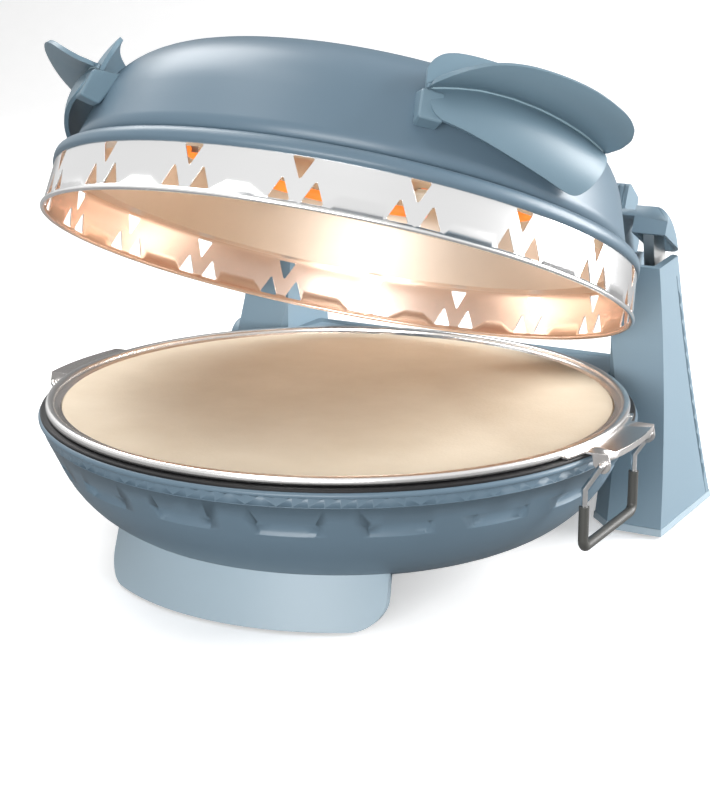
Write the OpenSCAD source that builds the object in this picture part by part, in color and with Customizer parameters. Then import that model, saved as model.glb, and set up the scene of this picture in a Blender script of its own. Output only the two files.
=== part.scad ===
/* [Main sizes] */
// outer radius of the rolled rim of the base bowl
rim_r = 178; // [177:0.5:180]
// height of the rolled rim above the table
rim_h = 92; // [91.5:0.25:92.5]
// wall of the pressed sheet shells
sheet = 1.2; // [1:0.1:1.4]
// angle the lid stands open when left at rest
lid_open = 23.35; // [22.5:0.05:25]
// distance of the lid hinge behind the middle
hinge_y = 182; // [181.5:0.25:182.5]
// height of the lid hinge
hinge_z = 139.7; // [139.2:0.1:140.2]

/* [Base bowl] */
// underside height of the bowl floor at the middle
bowl_floor = 11.7; // [11:0.1:12.5]
// radius of the gently domed bowl floor
floor_r = 523; // [500:1:550]
// radius of the rounded corner between floor and wall
bowl_corner = 70.4; // [68:0.2:73]
// slope of the bowl wall from level
bowl_slope = 64.6; // [64:0.1:65.2]
// number of pressed dimples around the bowl
dimple_count = 18; // [12:1:20]
// length of one dimple
dimple_l = 36; // [30:1:38]
// depth of one dimple at its lower edge
dimple_d = 2.2; // [1.4:0.1:2.6]

/* [Lid] */
// height of the lid's rolled edge when shut
lid_h = 96; // [96:0.1:96.6]
// height of the perforated band
band_h = 27.6; // [27.2:0.1:28]
// top height of the dome above the table when shut
dome_top = 209.4; // [208:0.2:211]
// radius of the gently domed crown
crown_r = 663; // [640:1:690]
// radius of the dome's rounded shoulder
dome_corner = 51.9; // [50:0.1:54]
// slope of the dome wall from level
dome_slope = 73.8; // [73:0.1:74.6]
// number of groups of three-cornered holes
group_count = 18; // [12:1:18]
// width of one three-cornered hole
hole_w = 10.6; // [8:0.1:11]
// height of one three-cornered hole
hole_h = 11.4; // [9:0.1:11.8]

/* [Stone tray] */
// thickness of the baking stone
stone_t = 10.6; // [9:0.1:11]
// distance of a handle's legs from its middle
bail_half = 37.7; // [37.2:0.1:38.4]
// height of the handles' lower bar
bail_low = 41; // [38:0.5:46]
// thickness of the handle wire
wire_d = 3.6; // [3.2:0.1:4]
// thickness of the handle sleeve
grip_d = 5.8; // [5.2:0.1:6.2]

/* [Side grips of the lid] */
// plan angle of a side grip, turned forward from the side
ear_turn = 30; // [29:0.5:31]
// distance from the lid's axis to the grip's crease
ear_w = 164; // [163.5:0.25:164.5]
// wall of the grips
ear_t = 3.2; // [2.8:0.1:3.4]

/* [Uprights] */
// distance of an upright's outer face from the middle at the table
post_x = 168; // [167.5:0.25:169]
// wall of the moulded uprights
post_t = 2.5; // [2.2:0.1:2.8]
// hinge pin thickness
pin_d = 8; // [7:0.1:8.4]
// diameter of the dial on the left upright
dial_d = 34; // [30:0.5:36]

/* [Hidden] */
$fn = 96;
fine = 720;
far = 600;

// ================= helpers =================

function unit(v) = v / norm(v);

// the corner a-b-c turned into an arc of radius r: its centre, and where it meets both edges
function arc_mid(a, b, c, r) =
    let (u = unit(a - b), v = unit(c - b))
    b + unit(u + v) * r / sin(acos(u * v) / 2);
function arc_ends(a, b, c, r) =
    let (u = unit(a - b), v = unit(c - b), t = r / tan(acos(u * v) / 2))
    r > 0 ? [b + u * t, b + v * t] : [b];

// convex outline p whose corner i is rounded with radius r[i]
module soft(p, r) {
    n = len(p);
    polygon([for (i = [0 : n - 1])
        each arc_ends(p[(i + n - 1) % n], p[i], p[(i + 1) % n], r[i])]);
    for (i = [0 : n - 1])
        if (r[i] > 0)
            translate(arc_mid(p[(i + n - 1) % n], p[i], p[(i + 1) % n], r[i]))
                circle(r = r[i]);
}

module both_sides() {
    children();
    mirror([1, 0, 0])
        children();
}

// straight rod between two points
module rod(p, q, d) {
    v = q - p;
    translate(p)
        rotate([0, acos(v[2] / norm(v)), atan2(v[1], v[0])])
            cylinder(d = d, h = norm(v));
}

// pie piece about the -Y direction, used to trim revolved shapes
module sector(r, half, z0, z1) {
    translate([0, 0, z0])
        rotate([0, 0, -90 - half])
            rotate_extrude(angle = 2 * half)
                square([r, z1 - z0]);
}

// the whole appliance is moved so that its middle stands over the origin
module seated() {
    translate([0, -mid_y, 0])
        children();
}

// ---- pressed shell outline: a domed floor, a corner arc and a sloping wall, open at the top
function up_wall(a) = [cos(a), sin(a)];
function into_wall(a) = [-sin(a), cos(a)];

// centre of the corner arc that touches both the wall and the floor
function corner_c(rw, zw, a, r, z0, rf) =
    let (d = up_wall(a),
         g = [rw, zw] + into_wall(a) * r - [0, z0 + rf],
         b = d * g)
    [rw, zw] + into_wall(a) * r + d * (-b - sqrt(b * b - g * g + (rf - r) * (rf - r)));

module dish_area(rw, zw, a, r, z0, rf, in) {
    c = corner_c(rw, zw, a, r, z0, rf);
    f = [0, z0 + rf];
    t1 = c - into_wall(a) * (r - in);
    t2 = f + unit(c - f) * (rf - in);
    intersection() {
        square([far, zw]);
        union() {
            intersection() {
                translate(f)
                    circle(r = rf - in, $fn = fine);
                polygon([[0, z0 - 30], [t2[0], z0 - 30], t2, t1,
                         t1 + up_wall(a) * (zw + 1 - t1[1]) / sin(a), [0, zw + 1]]);
            }
            translate(c)
                circle(r = r - in);
        }
    }
}

// ================= shared sizes =================

// base bowl
wall_top = rim_h - 9;
wall_r = rim_r - 3.05;
collar_r = rim_r - 3.2;
bead_r = 2;
bead_c = [rim_r - bead_r, rim_h - bead_r];

module bowl_area(in) {
    dish_area(wall_r, wall_top, bowl_slope, bowl_corner, bowl_floor, floor_r, in);
}

// bolts that hold the bowl down: two through the front foot, two through the rear housing
foot_bolts = [[-40, -105], [40, -105]];
rear_bolts = [[-60, 115], [60, 115]];
bolt_d = 4.4;
boss_top = 32;

// lid, drawn shut
edge_r = rim_r - 1.7;
edge_bead = 1.4;
band_r0 = edge_r - 1.3;
band_r1 = edge_r - 3.3;
band_t = 0.8;
band_top = lid_h + band_h;
collar_top = band_top + 7.8;
dome_foot = collar_top + 1.6;
dome_r0 = edge_r - 10.75;
dome_rise = dome_top - dome_foot;

// the dome is a dish turned over above its foot height
module turned_over(z) {
    translate([0, z + far])
        mirror([0, 1])
            children();
}

module dome_area(in) {
    turned_over(dome_foot)
        dish_area(dome_r0, far, dome_slope, dome_corner, far - dome_rise, crown_r, in);
}

module dome_block(in) {
    rotate_extrude()
        dome_area(in);
}

// turns pieces of the lid from the shut position to the rest position
module lid_pose() {
    translate([0, hinge_y, hinge_z])
        rotate([-lid_open, 0, 0])
            translate([0, -hinge_y, -hinge_z])
                children();
}

// ================= base: bowl and heater =================

dimple_h = 9.5;
dimple_z = 68.1;
dimple_mid = [wall_r - (wall_top - dimple_z) / tan(bowl_slope), dimple_z];

// a child drawn flat is set on the bowl wall: x along the rim, y up the wall, z outward
module on_wall(a) {
    rotate([0, 0, a])
        translate([dimple_mid[0], 0, dimple_mid[1]])
            rotate([0, 90 - bowl_slope, 0])
                rotate([90, 0, 90])
                    children();
}

// corner a-b-c cut to three points of its arc, for a pocket with flat facets at its ends
function corner_cut(a, b, c, r) =
    let (e = arc_ends(a, b, c, r), m = arc_mid(a, b, c, r))
    [e[0], m + unit(b - m) * r, e[1]];

module dimple_outline(grow) {
    x = dimple_l / 2 + grow;
    y = dimple_h / 2 + grow;
    p = [[-x + 2.5, -y], [x - 2.5, -y], [x, y], [-x, y]];
    polygon([for (i = [0 : 3]) each corner_cut(p[(i + 3) % 4], p[i], p[(i + 1) % 4], 2.8)]);
}

module dimple_prisms(grow) {
    for (i = [0 : dimple_count - 1])
        on_wall(-90 + i * 360 / dimple_count)
            translate([0, 0, -9])
                linear_extrude(14)
                    dimple_outline(grow);
}

// the pocket starts flush with the wall at the top and gets deeper to a ledge at the bottom
module dimple_pockets() {
    up = up_wall(bowl_slope);
    out = -into_wall(bowl_slope);
    top = dimple_mid + up * (dimple_h / 2 + 1) + out * dimple_d / dimple_h;
    low = dimple_mid - up * (dimple_h / 2 + 1) - out * dimple_d * (1 + 1 / dimple_h);
    intersection() {
        rotate_extrude()
            polygon([top, low, low + out * 4, top + out * 3]);
        dimple_prisms(0);
    }
}

module dimple_pads() {
    up = up_wall(bowl_slope);
    out = -into_wall(bowl_slope);
    top = dimple_mid + up * (dimple_h / 2 + 2);
    low = dimple_mid - up * (dimple_h / 2 + 2);
    intersection() {
        rotate_extrude()
            polygon([top - out * 0.2, top - out * sheet, low - out * (sheet + dimple_d),
                     low - out * 0.2]);
        dimple_prisms(1.2);
    }
}

module bowl_bosses() {
    intersection() {
        union()
            for (p = concat(foot_bolts, rear_bolts))
                translate(p)
                    cylinder(d = 10, h = boss_top + 2);
        rotate_extrude()
            bowl_area(0);
    }
}

module base_bowl() {
    color("steelblue") seated()
    difference() {
        union() {
            rotate_extrude() {
                difference() {
                    bowl_area(0);
                    bowl_area(sheet);
                }
                translate([collar_r - sheet, wall_top - 0.4])
                    square([sheet, bead_c[1] - wall_top + 0.4]);
                translate(bead_c)
                    circle(r = bead_r);
            }
            dimple_pads();
            bowl_bosses();
        }
        dimple_pockets();
        for (p = concat(foot_bolts, rear_bolts))
            translate(p)
                cylinder(d = bolt_d, h = boss_top);
    }
}

// black ring that seals the reflector to the rolled rim and carries the tray
gasket_top = rim_h + 1.6;
gasket_in = rim_r - 10.6;
lip_top = wall_top + 1;
lip_t = 0.8;

module rim_gasket() {
    color("black") seated()
    rotate_extrude()
        difference() {
            polygon([[gasket_in, lip_top], [collar_r - sheet, lip_top],
                     [collar_r - sheet, rim_h - 0.6], [rim_r - 1.2, rim_h - 0.6],
                     [rim_r - 1.2, gasket_top - 0.6], [rim_r - 1.8, gasket_top],
                     [gasket_in, gasket_top]]);
            translate(bead_c)
                circle(r = bead_r);
        }
}

// bright dish under the stone, hung from its lip below the black ring
dish_z = 47;
dish_side = collar_r - 11.8;
dish_r = dish_side - 35;

module lower_reflector() {
    color("silver") seated()
    difference() {
        rotate_extrude() {
            translate([dish_side - 0.5, lip_top - lip_t])
                square([collar_r - sheet - dish_side + 0.5, lip_t]);
            polygon([[dish_r, dish_z], [dish_side, lip_top - lip_t], [dish_side, lip_top],
                     [dish_side - 0.6, lip_top], [dish_r - 0.6, dish_z + lip_t]]);
            translate([0, dish_z])
                square([dish_r, lip_t]);
        }
        for (s = [-1, 1])
            translate([s * lead_x, lead_y(low_heat_r), 0])
                cylinder(r = bush_r, h = lip_top);
    }
}

// tubular heater: a ring whose two ends turn away through the reflector
tube_r = 3.3;
lead_x = 12;
lead_l = 26;
bush_r = 6.2;
low_heat_r = dish_side - 51;
low_heat_z = 60;
function lead_y(r) = sqrt(r * r - lead_x * lead_x);

module heater_ring(r, z, way) {
    a = asin(lead_x / r);
    translate([0, 0, z])
        rotate([0, 0, 90 + a])
            rotate_extrude(angle = 360 - 2 * a)
                translate([r, 0])
                    circle(r = tube_r);
    for (s = [-1, 1])
        translate([s * lead_x, lead_y(r), z]) {
            sphere(r = tube_r + 0.7);
            mirror([0, 0, way])
                cylinder(r = tube_r, h = lead_l);
        }
}

module lower_heater() {
    color("dimgray") seated()
        heater_ring(low_heat_r, low_heat_z, 1);
}

// ceramic sleeve with a flange that lies on the reflector
module bushing(h) {
    difference() {
        union() {
            translate([0, 0, -h / 2])
                cylinder(r = bush_r, h = h);
            cylinder(r = bush_r + 2.4, h = 3);
        }
        cylinder(r = tube_r, h = h + 2, center = true);
    }
}

module lower_bushings() {
    color("ivory") seated()
    for (s = [-1, 1])
        translate([s * lead_x, lead_y(low_heat_r), dish_z + lip_t])
            bushing(9);
}

// sheet clip across the tube: a foot on the reflector and a notch that the tube lies in
module heater_clip(h) {
    difference() {
        union() {
            translate([-8, -0.6, 0])
                cube([16, 1.2, h + 1]);
            translate([-8, -6, 0])
                cube([16, 6, 1.2]);
        }
        translate([0, 5, h])
            rotate([90, 0, 0])
                cylinder(r = tube_r, h = 10);
        translate([-tube_r, -1, h])
            cube([2 * tube_r, 2, 10]);
    }
}

module lower_clips() {
    color("gray") seated()
    for (a = [0, 180, 270])
        rotate([0, 0, a])
            translate([low_heat_r, 0, dish_z + lip_t])
                heater_clip(low_heat_z - dish_z - lip_t);
}

// ================= base: feet =================

pad_h = 1.6;
foot_r = 143.5;
foot_lean = 7.4 / 29;
foot_half = 90.7;
foot_t = 3;
saddle_r0 = 100;
saddle_half = 29;
pad_turn = 24;
pad_in = 8.5;

// front outline of the foot plate: nearly upright ends, rounded lower corners
module foot_outline() {
    soft([[-foot_half, pad_h], [foot_half, pad_h], [foot_half - 3.5, 60], [3.5 - foot_half, 60]],
         [15, 15, 0, 0]);
}

module front_foot() {
    color("lightsteelblue") seated()
    difference() {
        union() {
            intersection() {
                rotate_extrude()
                    polygon([[foot_r, pad_h], [foot_r - foot_lean * 45, 45 + pad_h],
                             [foot_r - foot_lean * 45 - foot_t, 45 + pad_h],
                             [foot_r - foot_t, pad_h]]);
                rotate([90, 0, 0])
                    linear_extrude(200)
                        foot_outline();
            }
            intersection() {
                rotate_extrude()
                    difference() {
                        bowl_area(-foot_t);
                        square([saddle_r0, far]);
                        translate([foot_r - 8, 0])
                            square([far, far]);
                    }
                sector(foot_r, saddle_half, 0, 60);
            }
            intersection() {
                rotate_extrude()
                    translate([foot_r - 14, pad_h])
                        square([13, 2.5]);
                sector(foot_r, saddle_half, 0, 10);
            }
            for (p = foot_bolts)
                translate([p[0], p[1], 19])
                    cylinder(d = 13, h = 8);
        }
        rotate_extrude()
            bowl_area(0);
        for (p = foot_bolts)
            translate(p)
                cylinder(d = bolt_d, h = 40);
        for (s = [-1, 1])
            rotate([0, 0, -90 + s * pad_turn])
                translate([foot_r - pad_in, 0, 0])
                    cylinder(d = 3, h = 10);
    }
}

// rubber pads, each held by its stem
module rubber_pad() {
    cylinder(d = 9, h = pad_h);
    cylinder(d = 3, h = pad_h + 2.3);
}

post_pad_x = 148;
post_pad_y = [127, 191];

module rubber_pads() {
    color("black") seated() {
        for (s = [-1, 1])
            rotate([0, 0, -90 + s * pad_turn])
                translate([foot_r - pad_in, 0, 0])
                    rubber_pad();
        both_sides()
            for (y = post_pad_y)
                translate([post_pad_x, y, 0])
                    rubber_pad();
    }
}

module bolt(seat, h) {
    translate([0, 0, seat])
        difference() {
            union() {
                cylinder(d = bolt_d - 0.1, h = h);
                translate([0, 0, -2.6])
                    cylinder(d = 8, h = 2.6);
            }
            translate([-3, -0.5, -3])
                cube([6, 1, 1.5]);
        }
}

module bowl_bolts() {
    color("silver") seated() {
        for (p = foot_bolts)
            translate(p)
                bolt(19, 11);
        for (p = rear_bolts)
            translate(p)
                bolt(house_low, 5);
    }
}

// ================= base: uprights =================

post_h = 164;
post_lean = 22 / post_h;
post_in = 118;
pin_end = 139;
base_t = 4;

// side outline seen along x: swept front and back edges, rounded over the hinge
front_c = [-341.7, 194.3];
front_arc = 489.8;
rear_c = [920.9, 181.8];
rear_arc = 739.6;
rear_more = 11;
bevel_c = [1296.96, 283.29];
bevel_arc = 1072.03;
top_arc = 24.3;

module post_side(in) {
    difference() {
        union() {
            translate([90, -20])
                square([hinge_y - 90, post_h + 20 - in]);
            translate([hinge_y - 1, -20])
                square([60, hinge_z + 20]);
            translate([hinge_y, hinge_z])
                circle(r = top_arc - in);
        }
        translate(front_c)
            circle(r = front_arc + in, $fn = fine);
        translate([rear_c[0] + rear_more, rear_c[1]])
            circle(r = rear_arc + in, $fn = fine);
        translate([hinge_y - 45, post_h - 3.1 - in])
            rotate(4)
                square([45, 20]);
    }
}

// front outline seen along y: the outer face leans inward
module post_face(in) {
    x0 = post_x + 20 * post_lean - in;
    x1 = post_x - (post_h + 20) * post_lean - in;
    polygon([[post_in + in, -20], [x0, -20], [x1, post_h + 20], [post_in + in, post_h + 20]]);
}

// space kept for the round bowl and the lid's edge
module round_clear(in) {
    rotate_extrude()
        polygon([[0, -30], [171 + in, -30], [171 + in, 0], [rim_r + 6.5 + in, 70],
                 [rim_r + 6.5 + in, far], [0, far]]);
}

// slanting cut between the outer face and the back
module back_bevel(in) {
    rotate([0, 0, 45])
        translate([bevel_c[0] + (post_x - 168) / sqrt(2), 0, bevel_c[1]])
            rotate([90, 0, 0])
                cylinder(r = bevel_arc + in, h = 800, center = true, $fn = fine);
}

module post_solid(in) {
    difference() {
        intersection() {
            rotate([90, 0, 90])
                linear_extrude(200)
                    post_side(in);
            translate([0, 260, 0])
                rotate([90, 0, 0])
                    linear_extrude(260)
                        post_face(in);
        }
        round_clear(in);
        back_bevel(in);
    }
}

base_lip = 0.6;
rear_max = rear_c[0] + rear_more
    - sqrt(pow(rear_arc - base_lip, 2) - pow(rear_c[1] - pad_h, 2));
mid_y = (rear_max - rim_r) / 2;

knuckle_x = 128;
knuckle_w = 7;
screw_y = [142, 174];
screw_d = 3;

module post_bosses() {
    translate([post_in, hinge_y, hinge_z])
        rotate([0, 90, 0])
            cylinder(r = 9, h = 8);
    translate([pin_end, hinge_y, hinge_z])
        rotate([0, 90, 0])
            cylinder(r = 9, h = 12);
    for (y = screw_y)
        translate([0, y, 0]) {
            translate([post_pad_x, 0, 0])
                cylinder(d = 8, h = 20);
            translate([post_in, -1.2, 0])
                cube([post_pad_x - post_in, 2.4, 20]);
        }
}

// fine joint line down the outer face, just ahead of its back edge
module post_seam() {
    difference() {
        translate([140, 0, 0])
            rotate([90, 0, 90])
                linear_extrude(60)
                    difference() {
                        translate(rear_c)
                            circle(r = rear_arc + 6.3, $fn = fine);
                        translate(rear_c)
                            circle(r = rear_arc + 5.4, $fn = fine);
                        translate([0, -far / 2])
                            square([far, far / 2]);
                        translate([0, post_h - 12])
                            square([far, far]);
                        translate([hinge_y + 60, 0])
                            square([2 * far + far, far]);
                    }
        post_solid(0.8);
    }
}

module upright() {
    difference() {
        post_solid(0);
        translate([0, 0, pad_h + base_t - far])
            cube([far, far, far]);
        difference() {
            post_solid(post_t);
            post_bosses();
        }
        translate([post_in + post_t, 152, post_h - 14])
            cube([20.5, 60, 60]);
        translate([knuckle_x - 1.2, hinge_y - 20, hinge_z - 14])
            cube([knuckle_w + 2.4, 80, 60]);
        translate([post_in - 5, hinge_y, hinge_z])
            rotate([0, 90, 0])
                cylinder(d = pin_d, h = pin_end + 10 - post_in);
        post_seam();
        for (y = screw_y)
            translate([post_pad_x, y, 0])
                cylinder(d = screw_d, h = 18);
    }
}

module upright_right() {
    color("lightsteelblue") seated()
        upright();
}

module upright_left() {
    color("lightsteelblue") seated()
    difference() {
        mirror([1, 0, 0])
            upright();
        on_left_face(dial_z)
            cylinder(d = shaft_d + 2, h = 12, center = true);
        on_left_face(lamp_z)
            cylinder(d = lamp_d, h = 12, center = true);
    }
}

module upright_bases() {
    color("slategray") seated()
    both_sides()
        difference() {
            intersection() {
                post_solid(-base_lip);
                translate([0, 0, pad_h])
                    cube([300, 300, base_t]);
            }
            for (y = post_pad_y)
                translate([post_pad_x, y, 0])
                    cylinder(d = 3, h = pad_h + 2.3);
            for (y = screw_y)
                translate([post_pad_x, y, 0]) {
                    cylinder(d = screw_d + 0.4, h = 20);
                    cylinder(d = 6.6, h = pad_h + 1.5);
                }
        }
}

module base_screws() {
    color("silver") seated()
    both_sides()
        for (y = screw_y)
            translate([post_pad_x, y, pad_h + 0.1])
                difference() {
                    union() {
                        cylinder(d = 6, h = 1.4);
                        cylinder(d = screw_d, h = 15);
                    }
                    translate([-2, -0.4, -1])
                        cube([4, 0.8, 1.6]);
                }
}

// ================= base: rear housing =================

house_low = 26;
house_top = lid_h - 2.4;
house_y = 196;
house_t = 2.5;
vent_z = [38, 46, 54, 62];

// the bowl and a straight clearance above it, grown outward by in
module bowl_space(in) {
    rotate_extrude() {
        bowl_area(-in);
        translate([0, wall_top - 12])
            square([rim_r + 3 + in, far]);
    }
}

module house_solid(in) {
    difference() {
        translate([-post_in + in, 0, 0])
            rotate([90, 0, 90])
                linear_extrude(2 * (post_in - in))
                    polygon([[60, house_low + in], [house_y - in, house_low + in],
                             [house_y - in, 78], [house_y - 10 - in * 0.4, house_top - in],
                             [60, house_top - in]]);
        bowl_space(in);
    }
}

cover_x = 100;
cover_z = [32, 70];

module rear_housing() {
    color("lightsteelblue") seated()
    difference() {
        house_solid(0);
        difference() {
            house_solid(house_t);
            for (p = rear_bolts)
                translate(p)
                    cylinder(d = 14, h = 60);
        }
        for (p = rear_bolts)
            translate(p)
                cylinder(d = bolt_d, h = 60);
        translate([5 - cover_x, house_y - 10, cover_z[0] + 5])
            cube([2 * cover_x - 10, 20, cover_z[1] - cover_z[0] - 10]);
        for (s = [-1, 1])
            translate([s * 99 - 11, 176, house_top - 0.9])
                cube([22, 1, 3]);
        cover_holes(screw_d, 20);
    }
}

module cover_holes(d, h) {
    for (s = [-1, 1], z = [cover_z[0] + 3, cover_z[1] - 3])
        translate([s * (cover_x - 3), house_y + 2, z])
            rotate([90, 0, 0])
                cylinder(d = d, h = h, center = true);
}

// wiring cover with air slots and the lead's inlet
gland_x = -70;
gland_z = 51;
gland_d = 13;

module rear_cover() {
    color("slategray") seated()
    difference() {
        translate([0, house_y + 2, 0])
            rotate([90, 0, 0])
                linear_extrude(2)
                    soft([[-cover_x, cover_z[0]], [cover_x, cover_z[0]], [cover_x, cover_z[1]],
                          [-cover_x, cover_z[1]]], [6, 6, 6, 6]);
        for (x = [-30 : 8 : 42])
            translate([x, house_y - 5, cover_z[0] + 8])
                cube([3, 10, cover_z[1] - cover_z[0] - 16]);
        translate([gland_x, house_y, gland_z])
            rotate([90, 0, 0])
                cylinder(d = gland_d, h = 10, center = true);
        cover_holes(screw_d + 0.4, 20);
    }
}

module cover_screws() {
    color("silver") seated()
    for (s = [-1, 1], z = [cover_z[0] + 3, cover_z[1] - 3])
        translate([s * (cover_x - 3), house_y + 2, z])
            rotate([-90, 0, 0])
                difference() {
                    union() {
                        translate([0, 0, -8])
                            cylinder(d = screw_d, h = 9);
                        cylinder(d = 6, h = 1.6);
                    }
                    translate([-2, -0.4, 1])
                        cube([4, 0.8, 1]);
                }
}

module cord_gland() {
    color("dimgray") seated()
    translate([gland_x, house_y + 2, gland_z])
        rotate([-90, 0, 0])
            difference() {
                union() {
                    cylinder(d = 20, h = 5, $fn = 6);
                    translate([0, 0, -6])
                        cylinder(d = gland_d, h = 7);
                    translate([0, 0, -6])
                        cylinder(d = 19, h = 4, $fn = 6);
                    translate([0, 0, 5])
                        cylinder(d1 = gland_d, d2 = 10, h = 6);
                }
                cylinder(d = 7, h = 60, center = true);
            }
}

// ================= hinge, dial and lamp =================

module hinge_pins() {
    color("silver") seated()
    both_sides()
        translate([post_in - 2, hinge_y, hinge_z])
            rotate([0, 90, 0]) {
                cylinder(d = pin_d, h = pin_end + 6 - post_in);
                cylinder(d = pin_d + 4, h = 2);
            }
}

module spacer(x0, x1) {
    translate([x0, hinge_y, hinge_z])
        rotate([0, 90, 0])
            difference() {
                cylinder(d = pin_d + 5, h = x1 - x0);
                cylinder(d = pin_d, h = 20, center = true);
            }
}

module hinge_spacers() {
    color("goldenrod") seated()
    both_sides() {
        spacer(post_in + 8, knuckle_x - 0.3);
        spacer(knuckle_x + knuckle_w + 0.3, pin_end);
    }
}

dial_y = 161;
dial_z = 80;
lamp_z = 48;
shaft_d = 6;
lamp_d = 7;
face_turn = atan(post_lean);

// a child is set on the leaning left face, its z axis straight out of it
module on_left_face(z) {
    translate([post_lean * z - post_x, dial_y, z])
        rotate([0, face_turn - 90, 0])
            children();
}

module thermostat() {
    color("gray") seated()
    on_left_face(dial_z)
        translate([0, 0, -post_t * cos(face_turn) - 14])
            difference() {
                cylinder(d = 26, h = 14);
                translate([0, 0, 5])
                    cylinder(d = shaft_d + 0.1, h = 14);
            }
}

module dial_shaft() {
    color("silver") seated()
    on_left_face(dial_z)
        difference() {
            translate([0, 0, -post_t - 8])
                cylinder(d = shaft_d, h = post_t + 16);
            translate([-shaft_d, -shaft_d, 1])
                cube([2 * shaft_d, shaft_d / 2 + 1.2, 20]);
        }
}

module thermostat_dial() {
    color("slategray") seated()
    on_left_face(dial_z)
        difference() {
            union() {
                translate([0, 0, 0.4])
                    cylinder(d = dial_d, h = 3.6);
                translate([0, 0, 4])
                    cylinder(d1 = dial_d - 7, d2 = dial_d - 11, h = 9);
                for (a = [0 : 15 : 345])
                    rotate([0, 0, a])
                        translate([dial_d / 2, 0, 0.4])
                            cylinder(r = 0.8, h = 3.6);
            }
            difference() {
                cylinder(d = shaft_d, h = 8);
                translate([-shaft_d, -shaft_d, 1])
                    cube([2 * shaft_d, shaft_d / 2 + 1.2, 20]);
            }
            translate([dial_d / 2 - 14, -0.6, 12.2])
                cube([9, 1.2, 3]);
        }
}

module pilot_lamp() {
    color("orangered") seated()
    on_left_face(lamp_z) {
        translate([0, 0, -6])
            cylinder(d = lamp_d, h = 6.5);
        cylinder(d1 = lamp_d + 2.4, d2 = lamp_d, h = 2);
    }
}

// ================= lid, drawn shut =================

module dome() {
    color("steelblue") seated()
    lid_pose()
        rotate_extrude() {
            difference() {
                dome_area(0);
                dome_area(sheet);
            }
            translate([dome_r0 - 7.6, dome_foot])
                square([7, sheet]);
            translate([dome_r0 - 7.6, collar_top])
                square([sheet, dome_foot - collar_top + sheet]);
        }
}

// rolled collar: a round outer edge, a groove behind it and a flat inner rim
roll_c = [band_r1 - 4.4, band_top + 3.4];
roll_r = 5.6;

// the collar's inner edge stops just outside the lining
collar_reach = 10.4;

module lid_collar() {
    color("steelblue") seated()
    lid_pose()
        rotate_extrude()
            difference() {
                union() {
                    translate(roll_c)
                        circle(r = roll_r);
                    translate([roll_c[0], band_top])
                        square([roll_r, 3.4]);
                    translate([roll_c[0] - 3, band_top])
                        square([3, 3.4 + roll_r]);
                    translate([roll_c[0] - collar_reach, band_top])
                        square([collar_reach - 2, collar_top - band_top]);
                }
                translate(roll_c)
                    circle(r = roll_r - sheet);
                translate([roll_c[0] - 0.01, 0])
                    square([roll_r - sheet + 0.01, roll_c[1]]);
                translate([roll_c[0] - 1.8, 0])
                    square([1.9, roll_c[1] + roll_r - sheet]);
                square([roll_c[0] - 1.7, collar_top - sheet]);
            }
}

// three-cornered hole, point up
module hole_shape() {
    soft([[-hole_w / 2 - 0.6, -hole_h / 2], [hole_w / 2 + 0.6, -hole_h / 2], [0, hole_h / 2 + 1.3]],
         [0.9, 0.9, 0.9]);
}

group_gap = 17.4;

module hole_group() {
    translate([0, lid_h + 21.5])
        mirror([0, 1])
            hole_shape();
    for (s = [-1, 1])
        translate([s * group_gap / 2, lid_h + 9.2])
            hole_shape();
}

module perforated_band() {
    color("silver") seated()
    lid_pose()
        difference() {
            rotate_extrude() {
                polygon([[band_r0 - band_t, lid_h + 0.6], [band_r0, lid_h + 0.6],
                         [band_r1, band_top], [band_r1, band_top + 3], [band_r1 - band_t, band_top + 3],
                         [band_r1 - band_t, band_top]]);
                translate([edge_r - edge_bead, lid_h + edge_bead])
                    circle(r = edge_bead);
            }
            for (i = [0 : group_count - 1])
                rotate([0, 0, i * 360 / group_count])
                    translate([0, -band_r1 + 8, 0])
                        rotate([90, 0, 0])
                            linear_extrude(16)
                                hole_group();
        }
}

// inner lining of the dome: a flat rim at the band, a sloping wall and a domed ceiling
liner_foot = band_top + 1.4;
liner_r = band_r1 - 13;
liner_top = 188;
liner_t = 0.8;

module liner_area(in) {
    turned_over(liner_foot)
        dish_area(liner_r, far, 67, 30, far - (liner_top - liner_foot), crown_r, in);
}

top_heat_r = liner_r - 40;
top_heat_z = 162;

module upper_reflector() {
    color("wheat") seated()
    lid_pose()
        difference() {
            rotate_extrude() {
                difference() {
                    liner_area(0);
                    liner_area(liner_t);
                }
                translate([liner_r - liner_t, liner_foot])
                    square([band_r1 - band_t - liner_r + liner_t, liner_t]);
            }
            for (s = [-1, 1])
                translate([s * lead_x, lead_y(top_heat_r), top_heat_z])
                    cylinder(r = bush_r, h = far);
        }
}

module upper_heater() {
    color("orangered") seated()
    lid_pose()
        heater_ring(top_heat_r, top_heat_z, 0);
}

// height of the ceiling's underside above a ring of radius r
function ceiling_z(r) =
    liner_top - crown_r + sqrt((crown_r - liner_t) * (crown_r - liner_t) - r * r);

module upper_bushings() {
    color("ivory") seated()
    lid_pose()
        for (s = [-1, 1])
            translate([s * lead_x, lead_y(top_heat_r), ceiling_z(top_heat_r + 9) - 3])
                bushing(2 * (ceiling_z(top_heat_r + 9) - 3.8 - top_heat_z - tube_r));
}

module upper_clips() {
    color("gray") seated()
    lid_pose()
        for (a = [0, 180, 270])
            rotate([0, 0, a])
                translate([top_heat_r, 0, ceiling_z(top_heat_r + 9)])
                    mirror([0, 0, 1])
                        heater_clip(ceiling_z(top_heat_r + 9) - top_heat_z);
}

// ---- hinge arms of the lid

arm_in = 40;
arm_out = 115.4;
arm_y = [141, 181];
arm_z = [152, 182];
cap_x = [124, 146];
cap_c = [141, 137.3];
cap_r = 47.7;
cap_t = 2.2;

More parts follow.
